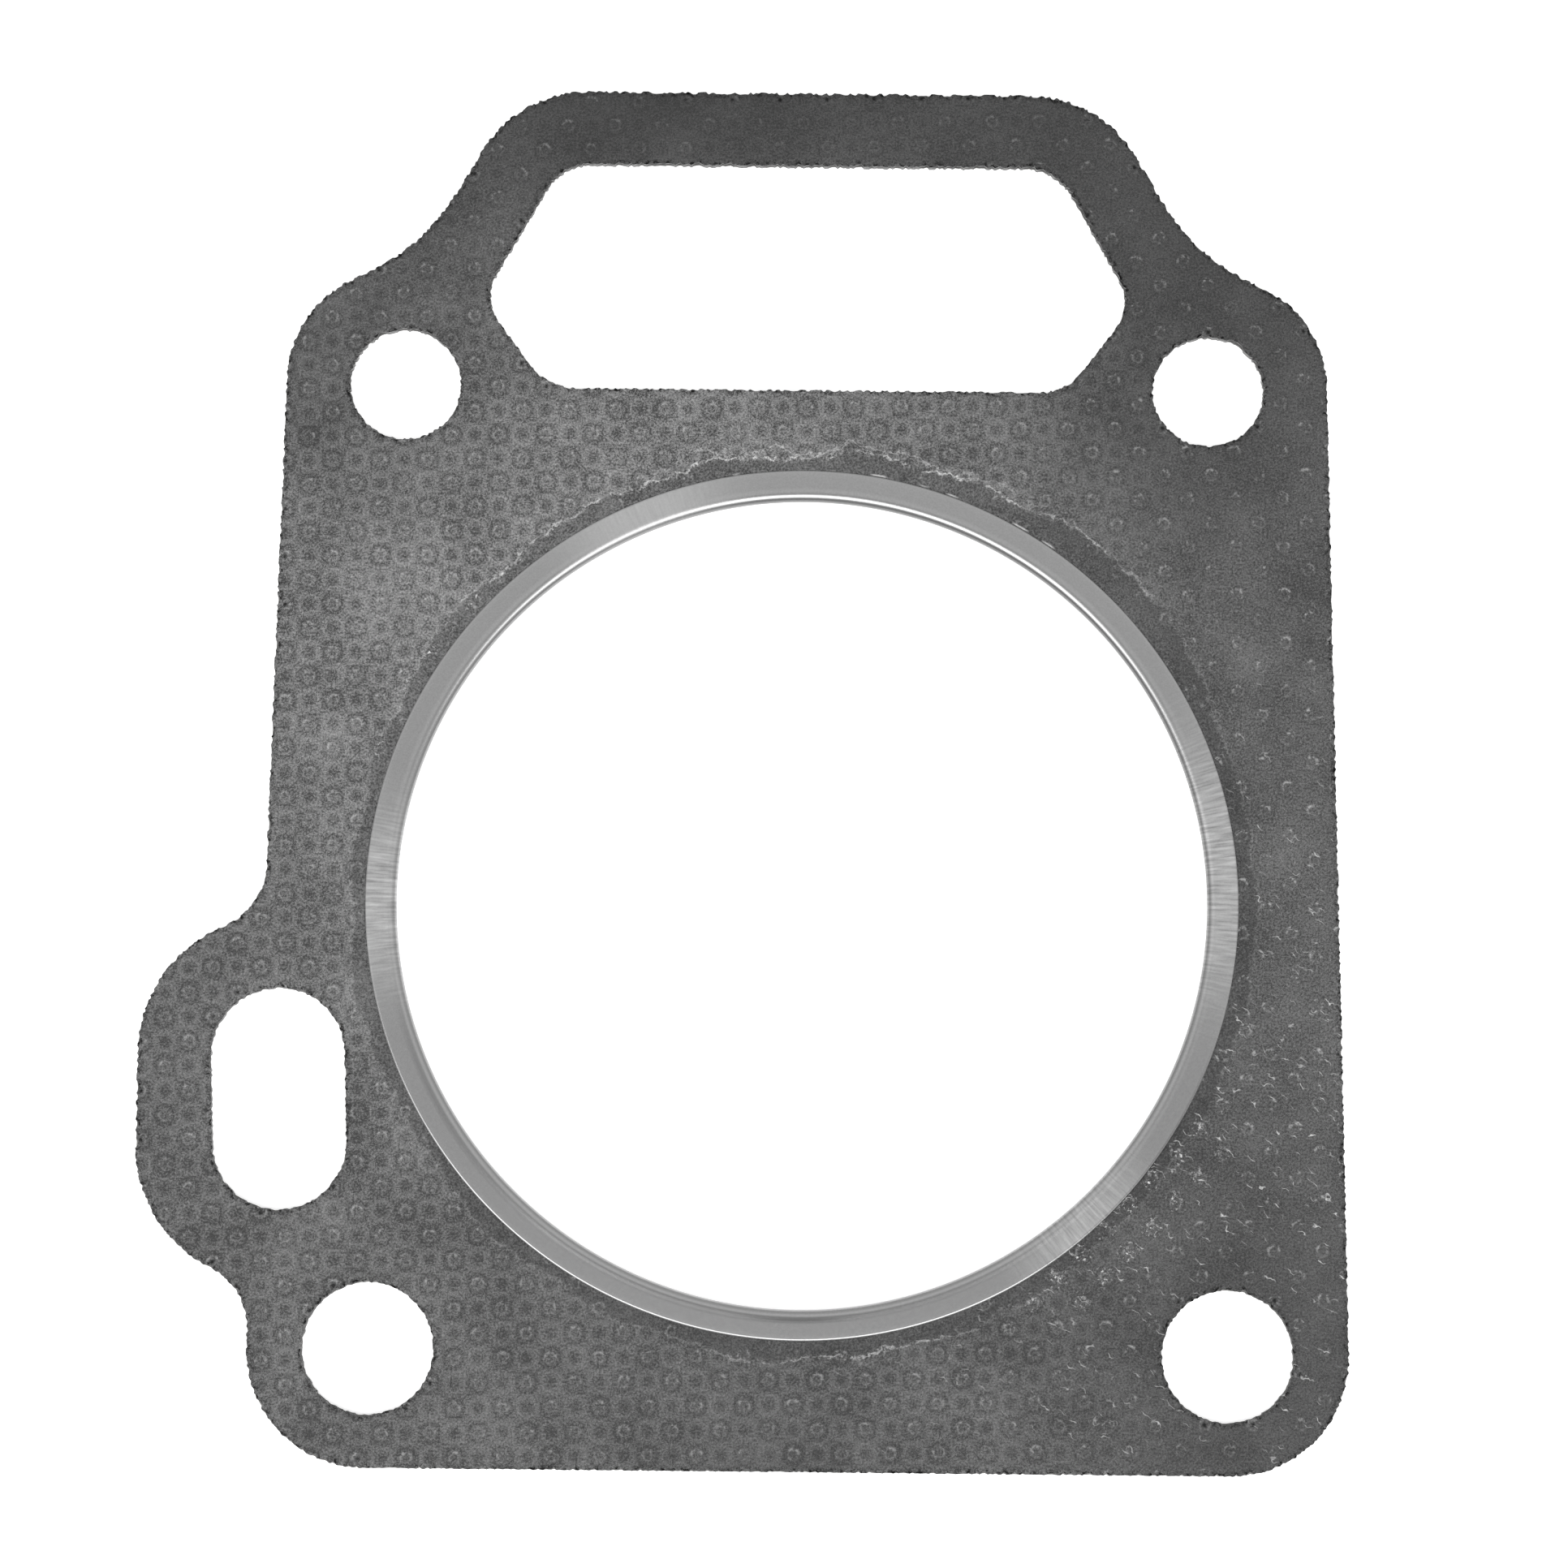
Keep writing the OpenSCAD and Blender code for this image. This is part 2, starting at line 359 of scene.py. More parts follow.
class GASKET_OT_facings(bpy.types.Operator):
    """Makes the two facings, with torn edges, a rolled rim and the band pressed down by the ring"""

    bl_idname = "gasket.facings"
    bl_label = "Facings"

    def execute(self, context):
        look = context.scene.gasket_facing
        cutter = torn_block("front_facing", "facing_cutter", look.tear, -CUTTER_REACH, CUTTER_REACH)
        front = gridded_sheet("facing_sheet_front", look.grid)
        cut_out(front, cutter)
        clear_core_side(front)
        shape_facing(front, look)
        pick(front)
        bpy.ops.object.shade_smooth_by_angle(angle=math.radians(40))
        back = turned_over(front, "facing_sheet_back")
        give(front, facing_sheet("Graphite facing, front", look, True))
        give(back, facing_sheet("Graphite facing, back", look, False))
        finish_piece(front, "front_facing", "front_facing")
        finish_piece(back, "back_facing", "back_facing")
        return {"FINISHED"}


def gridded_sheet(name, grid):
    """A slab as thick as a facing and a little larger than its outline, gridded on both faces."""
    middle = (FACING_LOW + FACING_HIGH) / 2
    across = math.ceil((FACING_HIGH.x - FACING_LOW.x) / grid) + 2
    along = math.ceil((FACING_HIGH.y - FACING_LOW.y) / grid) + 2
    bpy.ops.object.select_all(action="DESELECT")
    bpy.ops.mesh.primitive_grid_add(
        x_subdivisions=across, y_subdivisions=along, size=1.0,
        location=(middle.x, middle.y, FACING_HIGH.z))
    sheet = bpy.context.object
    sheet.name = sheet.data.name = name
    bpy.ops.transform.resize(value=(across * grid, along * grid, 1.0))
    bpy.ops.object.transform_apply(location=True, rotation=True, scale=True)
    bpy.ops.object.mode_set(mode="EDIT")
    bpy.ops.mesh.select_all(action="SELECT")
    bpy.ops.mesh.extrude_region_move(
        TRANSFORM_OT_translate={"value": (0, 0, FACING_LOW.z - FACING_HIGH.z)})
    bpy.ops.mesh.select_all(action="SELECT")
    bpy.ops.mesh.normals_make_consistent(inside=False)
    bpy.ops.object.mode_set(mode="OBJECT")
    return sheet


def cut_out(sheet, cutter):
    """Keeps the part of the sheet that lies in the cutter, and removes the cutter."""
    pick(sheet)
    cut = sheet.modifiers.new("Outline", "BOOLEAN")
    cut.operation = "INTERSECT"
    cut.solver = "EXACT"
    cut.object = cutter
    bpy.ops.object.modifier_apply(modifier=cut.name)
    bpy.data.objects.remove(cutter)
    if len(sheet.data.polygons) < FEWEST_FACES:
        raise RuntimeError("the facing's outline could not be cut")


def clear_core_side(sheet):
    """Takes the grid off the face that lies on the core, because it never shows. The limit on
    the angle lets only faces of one plane merge."""
    bpy.ops.object.mode_set(mode="EDIT")
    bpy.ops.mesh.select_mode(type="FACE")
    bpy.ops.mesh.select_all(action="DESELECT")
    bpy.ops.object.mode_set(mode="OBJECT")
    for face in sheet.data.polygons:
        face.select = face.center.z < FACING_LOW.z + SAME_HEIGHT
    bpy.ops.object.mode_set(mode="EDIT")
    bpy.ops.mesh.dissolve_limited(angle_limit=0.0005)
    bpy.ops.object.mode_set(mode="OBJECT")


def turned_over(sheet, name):
    """A copy of the sheet on the other side of the gasket's middle."""
    other = sheet.copy()
    other.data = sheet.data.copy()
    other.name = other.data.name = name
    bpy.context.scene.collection.objects.link(other)
    pick(other)
    bpy.ops.object.mode_set(mode="EDIT")
    bpy.ops.mesh.select_all(action="SELECT")
    bpy.ops.transform.mirror(constraint_axis=(False, False, True),
                             center_override=(0.0, 0.0, 0.0))
    bpy.ops.mesh.flip_normals()
    bpy.ops.object.mode_set(mode="OBJECT")
    return other


def shape_facing(facing, look):
    """Presses the face down round the ring, rolls its cut rims, and keeps each point's
    distance from the cut edge for the material."""
    mesh = facing.data
    count = len(mesh.vertices)
    places = np.zeros(count * 3)
    mesh.vertices.foreach_get("co", places)
    places = places.reshape(-1, 3)
    on_face = places[:, 2] > FACING_HIGH.z - SAME_HEIGHT
    is_rim = np.zeros(count, dtype=bool)
    is_rim[[i for face in mesh.polygons if abs(face.normal.z) < 0.5 for i in face.vertices]] = True
    distance = np.zeros(count)
    rim = places[on_face & is_rim, :2]
    inside = on_face & ~is_rim
    distance[inside] = nearest_rim(places[inside, :2], rim)
    reach = np.hypot(places[:, 0], places[:, 1])
    # The pressed band ends in a soft step, and the rim rolls down over a strip at the cut
    step_width = 0.6 * MM
    roll_width = 0.45 * MM
    ramp = np.clip((RING_RADIUS + look.press_width + step_width / 2 - reach) / step_width, 0, 1)
    down = look.press * ramp * ramp * (3 - 2 * ramp)
    edge = np.clip(1 - distance / roll_width, 0, 1) ** 2
    down += look.roll * np.where(reach > RING_RADIUS, edge, 0)
    places[on_face, 2] -= down[on_face]
    mesh.vertices.foreach_set("co", places.ravel())
    mesh.update()
    layer = mesh.attributes.new("edge_distance", "FLOAT", "POINT")
    layer.data.foreach_set("value", distance / MM)


class GASKET_OT_fire_ring(bpy.types.Operator):
    """Makes the fire ring: thin sheet folded round the inner edge, spun from its section"""

    bl_idname = "gasket.fire_ring"
    bl_label = "Fire ring"

    def execute(self, context):
        look = context.scene.gasket_ring
        section = ring_section(look)
        mesh = bpy.data.meshes.new("fold_ring")
        mesh.from_pydata([(r, 0.0, z) for r, z in section],
                         [(i, (i + 1) % len(section)) for i in range(len(section))], [])
        ring = bpy.data.objects.new("fold_ring", mesh)
        context.scene.collection.objects.link(ring)
        pick(ring)
        bpy.ops.object.mode_set(mode="EDIT")
        bpy.ops.mesh.select_all(action="SELECT")
        bpy.ops.mesh.spin(steps=look.steps, angle=math.tau, center=(0, 0, 0), axis=(0, 0, 1))
        bpy.ops.mesh.select_all(action="SELECT")
        bpy.ops.mesh.remove_doubles(threshold=0.0001 * MM)
        bpy.ops.mesh.normals_make_consistent(inside=False)
        bpy.ops.object.mode_set(mode="OBJECT")
        bpy.ops.object.shade_smooth_by_angle(angle=math.radians(50))
        give(ring, ring_steel(look))
        finish_piece(ring, "ring_steel", "fire_ring")
        return {"FINISHED"}


def shares(steps, first=1):
    """Shares of a run at the ends of its even steps, with its start too if first is 0."""
    return [k / steps for k in range(first, steps + 1)]


def ring_section(look):
    """The folded section, as (radius, height) points in order: the outer skin from the back
    face's edge round the opening to the front face's edge, then the inner skin back again."""
    top = RING_HIGH.z
    bend = RING_RADIUS - look.width + look.bead
    sheet = look.sheet
    groove_end = bend + 0.7 * MM
    edge_turn = math.radians(38)
    flat_end = RING_RADIUS - look.roll * math.sin(edge_turn)
    # One face of the outer skin, from the opening's wall to the outer edge
    skin = []
    for share in shares(12, 0):
        turn = math.radians(90) * share
        skin.append((bend - look.bead * math.cos(turn), top - look.fold + look.fold * math.sin(turn)))
    # The fold ends in a shallow groove, a little deeper on the way, and the flange goes on at
    # the groove's depth below the bead
    for share in shares(8):
        dip = look.groove * (3 * share * share - 2 * share ** 3)
        extra = 0.4 * look.groove * math.sin(math.pi * share) ** 2
        skin.append((bend + (groove_end - bend) * share, top - dip - extra))
    for share in shares(3):
        skin.append((groove_end + (flat_end - groove_end) * share, top - look.groove))
    # The punched outer edge rolls down
    for share in shares(8):
        turn = edge_turn * share
        skin.append((flat_end + look.roll * math.sin(turn),
                     top - look.groove - look.roll * (1 - math.cos(turn))))
    under = []
    for share in shares(6, 0):
        turn = math.radians(90) * share
        under.append((bend - (look.bead - sheet) * math.cos(turn),
                      top - look.fold + (look.fold - sheet) * math.sin(turn)))
    under.append((RING_RADIUS, top - sheet))
    mirrored = [(r, -z) for r, z in reversed(skin)]
    mirrored_under = [(r, -z) for r, z in under]
    return mirrored + skin + list(reversed(under)) + mirrored_under


class GASKET_OT_stage(bpy.types.Operator):
    """Makes the floor, the lights and the camera"""

    bl_idname = "gasket.stage"
    bl_label = "Stage"

    def execute(self, context):
        look = context.scene.gasket_stage
        scene = context.scene
        bpy.ops.object.select_all(action="DESELECT")
        bpy.ops.mesh.primitive_circle_add(
            vertices=96, radius=FLOOR_RADIUS, fill_type="NGON",
            location=(0, 0, RING_LOW.z - FLOOR_GAP))
        floor = context.object
        floor.name = "studio_floor"
        bpy.ops.object.transform_apply(location=True)
        give(floor, light_table(look))
        place_light("front_strip", look.front_power, *FRONT_STRIP)
        place_light("back_soft", look.back_power, *BACK_SOFT)
        scene.world = plain_room(look)
        scene.view_settings.view_transform = "Standard"
        camera = bpy.data.objects.new("photo_camera", bpy.data.cameras.new("photo_camera"))
        scene.collection.objects.link(camera)
        camera.data.sensor_width = 36.0
        camera.data.lens = look.lens
        camera.data.clip_start = 0.01
        camera.data.clip_end = 10.0
        camera.location = CAMERA_PLACE
        camera.rotation_euler = [math.radians(turn) for turn in CAMERA_TURN]
        scene.camera = camera
        return {"FINISHED"}


def place_light(name, power, size, place):
    """Puts a soft rectangular light at a place, facing the middle of the gasket."""
    light = bpy.data.lights.new(name, "AREA")
    light.shape = "RECTANGLE"
    light.size, light.size_y = size
    light.energy = power
    lamp = bpy.data.objects.new(name, light)
    bpy.context.scene.collection.objects.link(lamp)
    lamp.location = place
    lamp.rotation_euler = (-Vector(place)).to_track_quat("-Z", "Y").to_euler()


def plain_room(look):
    """A pale room all round, darker straight above."""
    world = bpy.data.worlds.new("plain_room")
    world.use_nodes = True
    tree = world.node_tree
    tree.nodes.clear()
    way = add(tree, "ShaderNodeTexCoord").outputs["Generated"]
    height = add(tree, "ShaderNodeSeparateXYZ", {0: way})
    # It darkens between these two angles from straight up
    outer = math.radians(14)
    inner = math.radians(4)
    level = add(tree, "ShaderNodeMapRange", {
        "Value": height.outputs["Z"], "From Min": math.cos(outer), "From Max": math.cos(inner),
        "To Min": look.surroundings, "To Max": look.overhead})
    light = add(tree, "ShaderNodeBackground", {"Strength": level})
    add(tree, "ShaderNodeOutputWorld", {"Surface": light})
    return world


def core_steel(look):
    """Cold-rolled steel sheet, sheared with the facings: a thin grey line in the cut walls,
    dull and smeared in streaks of about 0.5 mm."""
    material, tree = new_material("Cold-rolled steel, sheared")
    place = add(tree, "ShaderNodeTexCoord")
    streaks = add(tree, "ShaderNodeTexNoise", {
        "Vector": place.outputs["Object"], "Scale": 1 / (0.5 * MM), "Detail": 3.0})
    tone = add(tree, "ShaderNodeMix", {
        0: streaks, 6: linear(look.dark), 7: linear(look.pale)}, data_type="RGBA")
    steel = add(tree, "ShaderNodeBsdfPrincipled", {
        "Base Color": tone.outputs[2], "Metallic": 1.0, "Roughness": 0.45})
    add(tree, "ShaderNodeOutputMaterial", {"Surface": steel})
    return material


def facing_sheet(name, look, shown):
    """Rolled graphite and fibre sheet: matt dark grey with a mottle of small flakes. The tongues
    of the punched core mark it, and handling, the ring and the cutting die have left their own
    marks on the face that was up. Specks and pits of painted shade darken its cut rims."""
    material, tree = new_material(name)
    place = add(tree, "ShaderNodeTexCoord").outputs["Object"]
    mm = add(tree, "ShaderNodeVectorMath", {0: place, "Scale": 1 / MM}, operation="SCALE")
    edge = add(tree, "ShaderNodeAttribute", attribute_name="edge_distance").outputs["Fac"]

    # Mottle of the rolled sheet: flakes of about 0.2 mm, blotches of about 4 mm, and soft clouds
    # of about 10 mm. The coordinates are in mm, so every scale is a count per mm
    flakes = add(tree, "ShaderNodeTexNoise", {
        "Vector": mm, "Scale": 4.6, "Detail": 2.0, "Roughness": 0.95})
    grain = add(tree, "ShaderNodeMath", {0: flakes, 1: 0.5}, operation="SUBTRACT")
    clouds = add(tree, "ShaderNodeTexNoise", {"Vector": mm, "Scale": 0.11, "Detail": 4.0})
    cloud = add(tree, "ShaderNodeMath", {0: clouds, 1: 0.5}, operation="SUBTRACT")
    blotches = add(tree, "ShaderNodeTexNoise", {"Vector": mm, "Scale": 0.27, "Detail": 1.0})
    blotch = add(tree, "ShaderNodeMath", {0: blotches, 1: 0.5}, operation="SUBTRACT")

    mark, raised, north = core_marks(tree, place)
    spread = add(tree, "ShaderNodeSeparateXYZ", {0: mm})
    # The marks fade towards the right and on the top bar, where the sheet was pressed less
    fade_right = add(tree, "ShaderNodeMapRange", {
        "Value": spread.outputs["X"], "From Min": 17.0, "From Max": 46.0,
        "To Min": 1.0, "To Max": 0.3}, interpolation_type="SMOOTHSTEP")
    fade_top = add(tree, "ShaderNodeMapRange", {
        "Value": spread.outputs["Y"], "From Min": 54.0, "From Max": 66.0,
        "To Min": 1.0, "To Max": 0.5}, interpolation_type="SMOOTHSTEP")
    fade = add(tree, "ShaderNodeMath", {0: fade_right, 1: fade_top}, operation="MULTIPLY")
    mark = add(tree, "ShaderNodeMath", {0: mark, 1: fade}, operation="MULTIPLY")
    if shown:
        wrinkle, pressed = ring_wrinkle(tree, mm, raised)
        # The ring's press has smoothed the marks beside it
        smoothed = add(tree, "ShaderNodeMapRange", {
            "Value": pressed, "From Min": 0.6, "From Max": 1.0, "To Min": 0.4, "To Max": 1.0})
        mark = add(tree, "ShaderNodeMath", {0: mark, 1: smoothed}, operation="MULTIPLY")

    # Each pattern lifts or lowers the sheet's tone of 1 by its own gain
    tone = add(tree, "ShaderNodeMath", {0: mark, 1: 0.68, 2: 1.0}, operation="MULTIPLY_ADD")
    tone = add(tree, "ShaderNodeMath", {0: grain, 1: 6.8, 2: tone}, operation="MULTIPLY_ADD")
    tone = add(tree, "ShaderNodeMath", {0: cloud, 1: 1.55, 2: tone}, operation="MULTIPLY_ADD")
    tone = add(tree, "ShaderNodeMath", {0: blotch, 1: 0.75, 2: tone}, operation="MULTIPLY_ADD")
    tone = add(tree, "ShaderNodeMath", {0: tone, 1: 0.15}, operation="MAXIMUM")
    if shown:
        # Pale flecks, pale arcs on the north sides of the raised rings, and crumbs of bare fibre
        wear = add(tree, "ShaderNodeMath", {
            0: flecks(tree, mm), 1: pale_arcs_and_crumbs(tree, mm, raised, north)}, operation="ADD")
        wear = add(tree, "ShaderNodeMath", {0: wrinkle, 1: wear}, operation="ADD")
        # Soft patches make the face paler in places and darker in others
        patches = tone_patches(tree, mm)
        tone = add(tree, "ShaderNodeMath", {0: tone, 1: patches}, operation="MULTIPLY")
        tone = add(tree, "ShaderNodeMath", {0: tone, 1: pressed}, operation="MULTIPLY")
        tone = add(tree, "ShaderNodeMath", {0: tone, 1: wear}, operation="ADD")
    # Painted shade in specks and pits along the cut rim, and the paler torn fibre of its wall
    unshaded, bared = rim_shade_and_fibre(tree, mm, edge, raised)
    tone = add(tree, "ShaderNodeMath", {0: tone, 1: unshaded, 2: bared}, operation="MULTIPLY_ADD")
    colour = add(tree, "ShaderNodeVectorMath", {
        0: linear(look.colour)[:3], "Scale": tone}, operation="SCALE")

    height = add(tree, "ShaderNodeMath", {0: mark, 1: 0.35}, operation="MULTIPLY")
    height = add(tree, "ShaderNodeMath", {0: grain, 1: 1.6, 2: height}, operation="MULTIPLY_ADD")
    if shown:
        height = add(tree, "ShaderNodeMath", {0: wear, 1: 0.2, 2: height}, operation="MULTIPLY_ADD")
    relief = add(tree, "ShaderNodeBump", {
        "Height": height, "Distance": 0.05 * MM, "Strength": 1.0})
    gloss = add(tree, "ShaderNodeMapRange", {"Value": flakes, "To Min": 0.5, "To Max": 0.72})
    # The painted shade of the rim's specks and pits lowers the specular too
    shine = add(tree, "ShaderNodeMath", {0: unshaded, 1: 0.5}, operation="MULTIPLY")
    sheet = add(tree, "ShaderNodeBsdfPrincipled", {
        "Base Color": colour, "Roughness": gloss, "IOR": 1.5, "Specular IOR Level": shine,
        "Normal": relief})
    add(tree, "ShaderNodeOutputMaterial", {"Surface": sheet})
    return material


# Levels of a mark from its middle outwards: how far out, as a share of MARK_REACH in mm, and the
# level there, where 0.5 leaves the sheet as it is
MARK_REACH = 1.66
RAISED = [(0.0, 0.4), (0.12, 0.36), (0.28, 0.62), (0.4, 0.4), (0.57, 0.16), (0.8, 0.5)]
DIMPLED = [(0.0, 0.1), (0.22, 0.2), (0.38, 0.48), (0.56, 0.76), (0.8, 0.56), (1.0, 0.48)]


def core_marks(tree, place):
    """What the tongues of the punched core press into the sheet, in a staggered lattice: small
    raised rings where they point towards this face, and dimples with a pale rim where they point
    away. Gives the level of both, and how many mm away and how many mm north of it the middle of
    the nearest raised one is."""
    # Each mark is a little out of round
    sway = add(tree, "ShaderNodeTexNoise", {"Vector": place, "Scale": 1.3 / MM, "Detail": 2.0})
    sway = add(tree, "ShaderNodeVectorMath", {
        0: sway.outputs["Color"], 1: (0.5, 0.5, 0.5)}, operation="SUBTRACT")
    sway = add(tree, "ShaderNodeVectorMath", {0: sway, "Scale": 0.25 * MM}, operation="SCALE")
    swayed = add(tree, "ShaderNodeVectorMath", {0: place, 1: sway}, operation="ADD")
    # Whole numbers of these coordinates lie at the perforations, the even ones at raised rings
    rows = add(tree, "ShaderNodeMapping", {
        "Vector": swayed, "Location": ROW_START, "Rotation": (0, 0, ROW_TURN),
        "Scale": (PITCH_ACROSS, PITCH_ALONG, 1.0)}, vector_type="TEXTURE")
    # The same places on a grid turned by 45 degrees, whose cells hold one mark of a kind each
    diagonal = math.sqrt(0.5)
    staggered = add(tree, "ShaderNodeMapping", {
        "Vector": rows, "Rotation": (0, 0, math.radians(45)), "Scale": (diagonal, diagonal, 0.0)})
    near_spacing = math.hypot(PITCH_ACROSS, PITCH_ALONG) / MM
    broken = add(tree, "ShaderNodeTexNoise", {"Vector": place, "Scale": 2.4 / MM, "Detail": 2.0})
    broken = add(tree, "ShaderNodeMapRange", {"Value": broken, "From Min": 0.3, "From Max": 0.7,
                                              "To Min": 0.8, "To Max": 1.2})
    levels = []
    distances = []
    norths = []
    for half, stops in ((0.5, RAISED), (0.0, DIMPLED)):
        shifted = add(tree, "ShaderNodeVectorMath", {
            0: staggered, 1: (half, half, 0.0)}, operation="ADD")
        site = add(tree, "ShaderNodeVectorMath", {0: shifted}, operation="FLOOR")
        part = add(tree, "ShaderNodeVectorMath", {0: shifted}, operation="FRACTION")
        offset = add(tree, "ShaderNodeVectorMath", {
            0: part, 1: (0.5, 0.5, 0.0)}, operation="DISTANCE")
        distances.append(add(tree, "ShaderNodeMath", {
            0: offset.outputs["Value"], 1: near_spacing}, operation="MULTIPLY"))
        # North lies halfway between the turned grid's two directions
        aside = add(tree, "ShaderNodeVectorMath", {
            0: part, 1: (0.5, 0.5, 0.0)}, operation="SUBTRACT")
        north = (-diagonal * near_spacing, diagonal * near_spacing, 0.0)
        norths.append(add(tree, "ShaderNodeVectorMath", {
            0: aside, 1: north}, operation="DOT_PRODUCT"))
        share = add(tree, "ShaderNodeMath", {0: distances[-1], 1: MARK_REACH}, operation="DIVIDE")
        ring = add(tree, "ShaderNodeValToRGB", {"Fac": share}, stops=stops)
        ring.color_ramp.interpolation = "EASE"
        level = add(tree, "ShaderNodeMath", {
            0: ring.outputs["Color"], 1: 0.5}, operation="SUBTRACT")
        # No two marks are equally strong
        dice = add(tree, "ShaderNodeTexWhiteNoise", {"Vector": site})
        strength = add(tree, "ShaderNodeMapRange", {"Value": dice, "To Min": 1.4, "To Max": 2.0})
        levels.append(add(tree, "ShaderNodeMath", {0: level, 1: strength}, operation="MULTIPLY"))
    both = add(tree, "ShaderNodeMath", {0: levels[0], 1: levels[1]}, operation="ADD")
    mark = add(tree, "ShaderNodeMath", {0: both, 1: broken}, operation="MULTIPLY")
    return mark, distances[0], norths[0].outputs["Value"]


# Soft patches where the sheet's tone is paler, and others where it is darker: x, y and radius in
# mm, and how much paler the middle is
PATCHES = ((-22, 28, 75, 1.1), (30, 34, 30, 0.15), (-50, -34, 46, 0.22), (-44, 58, 34, -0.46),
           (-18, 84, 40, -0.75), (18, 84, 42, -0.6), (42, 60, 36, -0.5), (47, -44, 40, -0.42),
           (-2, -62, 22, -0.3), (33, 42, 18, -0.25), (54, 28, 34, -0.12))


def tone_patches(tree, mm):
    """The factor that the patches give the sheet's tone."""
    factor = None
    for x, y, radius, gain in PATCHES:
        patch = spot(tree, mm, x, y, radius, 1.0 + gain, 1.0)
        factor = patch if factor is None else add(
            tree, "ShaderNodeMath", {0: factor, 1: patch}, operation="MULTIPLY")
    return factor


def ridge(tree, value, middle, width):
    """1 where the value is the middle one, falling to 0 at a width on both sides of it."""
    away = add(tree, "ShaderNodeMath", {0: value, 1: middle}, operation="SUBTRACT")
    away = add(tree, "ShaderNodeMath", {0: away}, operation="ABSOLUTE")
    return add(tree, "ShaderNodeMapRange", {"Value": away, "From Min": 0.0, "From Max": width,
                                            "To Min": 1.0, "To Max": 0.0})


def bore_distance(tree, mm):
    """The distance from the bore axis, in mm."""
    flat = add(tree, "ShaderNodeVectorMath", {0: mm, 1: (1.0, 1.0, 0.0)}, operation="MULTIPLY")
    return add(tree, "ShaderNodeVectorMath", {0: flat}, operation="LENGTH").outputs["Value"]


def spot(tree, mm, x, y, radius, middle, rim):
    """A round soft patch: one value in the middle, another from its radius on."""
    middle_place = (x, y, FACING_HIGH.z / MM)
    offset = add(tree, "ShaderNodeVectorMath", {0: mm, 1: middle_place}, operation="DISTANCE")
    return add(tree, "ShaderNodeMapRange", {
        "Value": offset.outputs["Value"], "From Min": 0.0, "From Max": float(radius),
        "To Min": middle, "To Max": rim}, interpolation_type="SMOOTHERSTEP")


def flecks(tree, mm):
    """Short pale streaks of bared fibre, about 0.7 mm long and slanted alike, mostly on the
    right."""
    bent = add(tree, "ShaderNodeTexNoise", {"Vector": mm, "Scale": 0.9, "Detail": 2.0})
    bent = add(tree, "ShaderNodeVectorMath", {
        0: bent.outputs["Color"], 1: (0.5, 0.5, 0.5)}, operation="SUBTRACT")
    bent = add(tree, "ShaderNodeVectorMath", {0: bent, "Scale": 1.7}, operation="SCALE")
    bent = add(tree, "ShaderNodeVectorMath", {0: bent, 1: mm}, operation="ADD")
    slanted = add(tree, "ShaderNodeMapping", {
        "Vector": bent, "Rotation": (0, 0, math.radians(33))})
    scatter = add(tree, "ShaderNodeTexVoronoi", {
        "Vector": slanted, "Scale": 0.86}, voronoi_dimensions="2D")
    half_length = 0.55
    half_width = 0.08
    offset = add(tree, "ShaderNodeVectorMath", {
        0: slanted, 1: scatter.outputs["Position"]}, operation="SUBTRACT")
    offset = add(tree, "ShaderNodeVectorMath", {
        0: offset, 1: (1 / half_length, 1 / half_width, 0.0)}, operation="MULTIPLY")
    offset = add(tree, "ShaderNodeVectorMath", {0: offset}, operation="LENGTH")
    streak = add(tree, "ShaderNodeMapRange", {
        "Value": offset.outputs["Value"], "From Min": 0.3, "From Max": 1.0,
        "To Min": 1.0, "To Max": 0.0})
    dice = add(tree, "ShaderNodeTexWhiteNoise", {"Vector": scatter.outputs["Position"]})
    # Fewest on the left, most at the lower right
    odds = spot(tree, mm, 50, -24, 74, 0.54, 0.98)
    kept = add(tree, "ShaderNodeMath", {0: dice, 1: odds}, operation="SUBTRACT")
    kept = add(tree, "ShaderNodeMapRange", {
        "Value": kept, "From Min": 0.0, "From Max": 0.4, "To Min": 0.0, "To Max": 7.0})
    return add(tree, "ShaderNodeMath", {0: streak, 1: kept}, operation="MULTIPLY")


